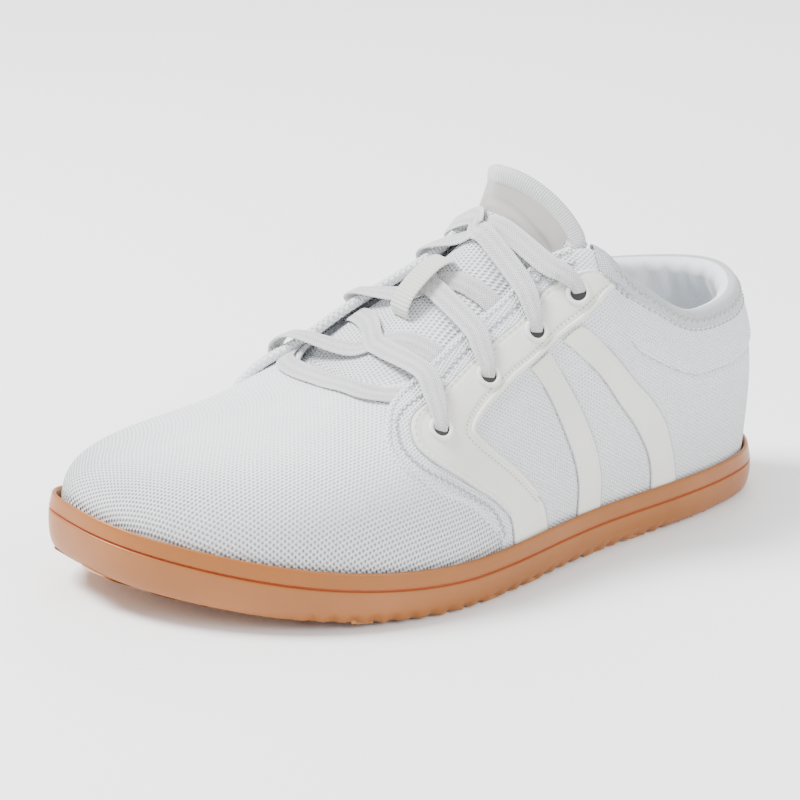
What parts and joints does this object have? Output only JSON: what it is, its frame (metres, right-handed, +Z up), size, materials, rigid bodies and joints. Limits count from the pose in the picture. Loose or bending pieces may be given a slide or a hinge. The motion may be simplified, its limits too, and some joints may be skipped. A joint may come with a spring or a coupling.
{
  "type": "barefoot shoe",
  "caption": "Low laced barefoot shoe with a flat gum cup sole, knit upper, flat laces and padded collar, standing empty on its sole.",
  "frame": {"origin": "centre of the bounding box in plan, on the floor under the sole", "axes": "toe towards -Y, heel towards +Y, outer side of the left foot towards +X, +Z up from the floor"},
  "size_m": [0.1119, 0.282, 0.1305],
  "materials": {
    "gum_rubber": "satin gum rubber",
    "insole_fabric": "pale fabric",
    "knit": "cool white knit",
    "tongue_knit": "white knit with a pale grey bare patch",
    "collar_fabric": "padded fabric",
    "film": "smooth off-white synthetic",
    "eyelet": "raised white ring",
    "lace": "flat white twill",
    "webbing": "ribbed webbing"
  },
  "bodies": {
    "root": {"outsole": "gum_rubber", "insole": "insole_fabric", "upper": "knit", "tongue": "tongue_knit", "collar": "collar_fabric", "eyestay_outer": "film", "eyestay_inner": "film", "strap_front_outer": "film", "strap_front_inner": "film", "strap_rear_outer": "film", "strap_rear_inner": "film", "eyelet_outer_1": "eyelet", "eyelet_outer_2": "eyelet", "eyelet_outer_3": "eyelet", "eyelet_outer_4": "eyelet", "eyelet_inner_1": "eyelet", "eyelet_inner_2": "eyelet", "eyelet_inner_3": "eyelet", "eyelet_inner_4": "eyelet", "lace_bar": "lace", "lace_cross_12": "lace", "lace_cross_23": "lace", "lace_cross_34": "lace", "lace_keeper": "webbing"}
  },
  "joints": []
}
